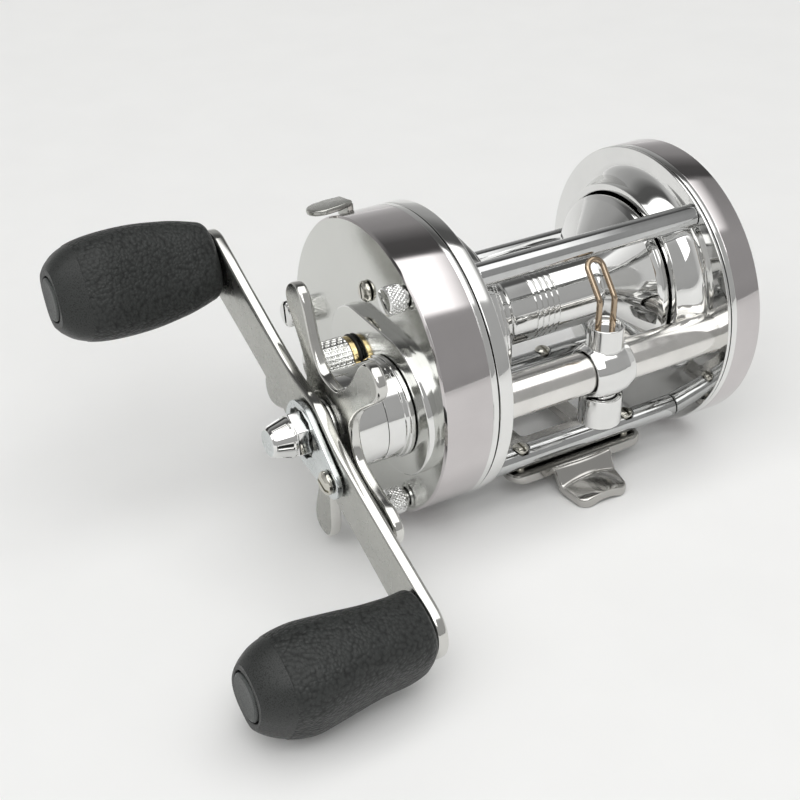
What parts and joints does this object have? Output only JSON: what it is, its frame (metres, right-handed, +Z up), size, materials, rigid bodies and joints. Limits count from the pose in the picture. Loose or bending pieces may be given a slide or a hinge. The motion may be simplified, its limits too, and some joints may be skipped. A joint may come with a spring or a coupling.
{
  "type": "baitcasting fishing reel",
  "caption": "Round baitcasting reel with a double-knob crank, star drag, level-wind line guide and a clamp-on foot, built as an openable assembly.",
  "frame": {"origin": "on the underside plane of the reel foot's flat middle plate, midway between its two blades and midway between the side plates", "axes": "X runs along the spool with the crank handle at -X, the line leaves towards the rod tip at -Y, +Z points up away from the rod"},
  "size_m": [0.1303, 0.1005, 0.0606],
  "materials": {
    "satin_cover": "satin, clear anodised",
    "gunmetal": "pearl gunmetal anodised",
    "chrome": "bright plated",
    "spool_chrome": "polished",
    "steel": "machined",
    "satin_nickel": "satin nickel plated",
    "zinc": "zinc plated",
    "brass": "machined",
    "bronze": "dark bronze wire",
    "rubber": "leather-grain moulded",
    "knob_cap": "matte",
    "nylon": "natural nylon",
    "fibre": "woven drag fibre"
  },
  "bodies": {
    "frame": {"frame_ring_handle_side": "chrome", "frame_plate_palm_side": "chrome", "pillar_front_top": "chrome", "pillar_rear": "chrome", "foot_bar_front": "chrome", "foot_bar_rear": "chrome", "reel_foot": "steel", "foot_screw_1": "satin_nickel", "foot_screw_2": "satin_nickel", "foot_screw_3": "satin_nickel", "foot_screw_4": "satin_nickel", "handle_side_cover": "satin_cover", "palm_side_cover": "gunmetal", "thumbscrew_1": "chrome", "thumbscrew_2": "chrome", "thumbscrew_3": "chrome", "cover_screw": "satin_nickel", "bridge_plate": "steel", "drive_housing": "chrome", "one_way_bearing": "steel", "bearing_handle_side": "steel", "bearing_palm_side": "steel", "brake_ring": "steel", "cast_control_collar": "brass", "cast_control_o_ring": "rubber", "levelwind_tube": "steel"},
    "handle": {"drive_shaft": "steel", "drag_washer": "fibre", "drag_pressure_plate": "steel", "star_spring_washer": "steel", "drive_gear": "brass", "levelwind_cog": "brass", "handle_arm": "satin_nickel", "lock_plate": "zinc", "lock_screw": "satin_nickel", "handle_nut": "chrome", "knob_pin_1": "steel", "knob_pin_2": "steel"},
    "star": {"star_drag": "satin_nickel"},
    "grip_1": {"knob_1": "rubber", "knob_cap_1": "knob_cap"},
    "grip_2": {"knob_2": "rubber", "knob_cap_2": "knob_cap"},
    "spool_unit": {"spool": "spool_chrome", "spool_shaft": "steel", "brake_carrier": "brass"},
    "brake_shoe_1": {"brake_block_1": "nylon"},
    "brake_shoe_2": {"brake_block_2": "nylon"},
    "thumb_lever": {"clutch_lever": "satin_nickel"},
    "yoke": {"clutch_yoke": "steel", "yoke_spring_1": "steel", "yoke_spring_2": "steel"},
    "pinion_unit": {"pinion": "brass"},
    "worm": {"worm_shaft": "steel", "worm_gear": "nylon"},
    "carriage": {"levelwind_carriage": "chrome", "pawl_cap": "chrome", "wire_guide": "bronze"},
    "pawl_unit": {"pawl": "steel"},
    "cast_knob": {"cast_control_knob": "chrome"}
  },
  "joints": [
    {"name": "handle_turn", "type": "hinge", "parent": "frame", "child": "handle", "pos_m": [0, -0.01381, 0.02611], "axis": [1, 0, 0], "continuous": true},
    {"name": "star_turn", "type": "hinge", "parent": "handle", "child": "star", "pos_m": [-0.055, -0.01381, 0.02611], "axis": [1, 0, 0], "range_deg": [-180, 180]},
    {"name": "knob_1_spin", "type": "hinge", "parent": "handle", "child": "grip_1", "pos_m": [-0.077, 0.02654, 0.04365], "axis": [1, 0, 0], "continuous": true},
    {"name": "knob_2_spin", "type": "hinge", "parent": "handle", "child": "grip_2", "pos_m": [-0.077, -0.05416, 0.00856], "axis": [1, 0, 0], "continuous": true},
    {"name": "spool_spin", "type": "hinge", "parent": "frame", "child": "spool_unit", "pos_m": [0, 0, 0.0302], "axis": [1, 0, 0], "continuous": true},
    {"name": "brake_block_1_slide", "type": "slide", "parent": "spool_unit", "child": "brake_shoe_1", "axis": [0, 1, 0], "range_m": [0, 0.0011]},
    {"name": "brake_block_2_slide", "type": "slide", "parent": "spool_unit", "child": "brake_shoe_2", "axis": [0, -1, 0], "range_m": [0, 0.0011]},
    {"name": "clutch_lever_press", "type": "hinge", "parent": "frame", "child": "thumb_lever", "pos_m": [-0.0355, 0.012, 0.0267], "axis": [-1, 0, 0], "range_deg": [0, 8]},
    {"name": "yoke_lift", "type": "slide", "parent": "frame", "child": "yoke", "axis": [-1, 0, 0], "range_m": [0, 0.0012]},
    {"name": "pinion_spin", "type": "hinge", "parent": "yoke", "child": "pinion_unit", "pos_m": [0, 0, 0.0302], "axis": [1, 0, 0], "continuous": true},
    {"name": "worm_spin", "type": "hinge", "parent": "frame", "child": "worm", "pos_m": [0, -0.02403, 0.02683], "axis": [1, 0, 0], "continuous": true},
    {"name": "carriage_travel", "type": "slide", "parent": "frame", "child": "carriage", "axis": [1, 0, 0], "range_m": [-0.014, 0.014]},
    {"name": "pawl_turn", "type": "hinge", "parent": "carriage", "child": "pawl_unit", "pos_m": [-0.0008, -0.02403, 0.02683], "axis": [0, 0, 1], "range_deg": [-25, 25]},
    {"name": "cast_control_turn", "type": "hinge", "parent": "frame", "child": "cast_knob", "pos_m": [-0.049, 0, 0.0302], "axis": [1, 0, 0], "range_deg": [-180, 180]}
  ],
  "couplings": [
    {"joint": "spool_spin", "follows": "handle_turn", "ratio": -3.8},
    {"joint": "pinion_spin", "follows": "handle_turn", "ratio": -3.8},
    {"joint": "worm_spin", "follows": "handle_turn", "ratio": -1.7333},
    {"joint": "yoke_lift", "follows": "clutch_lever_press", "m_per_rad": 0.008593}
  ]
}
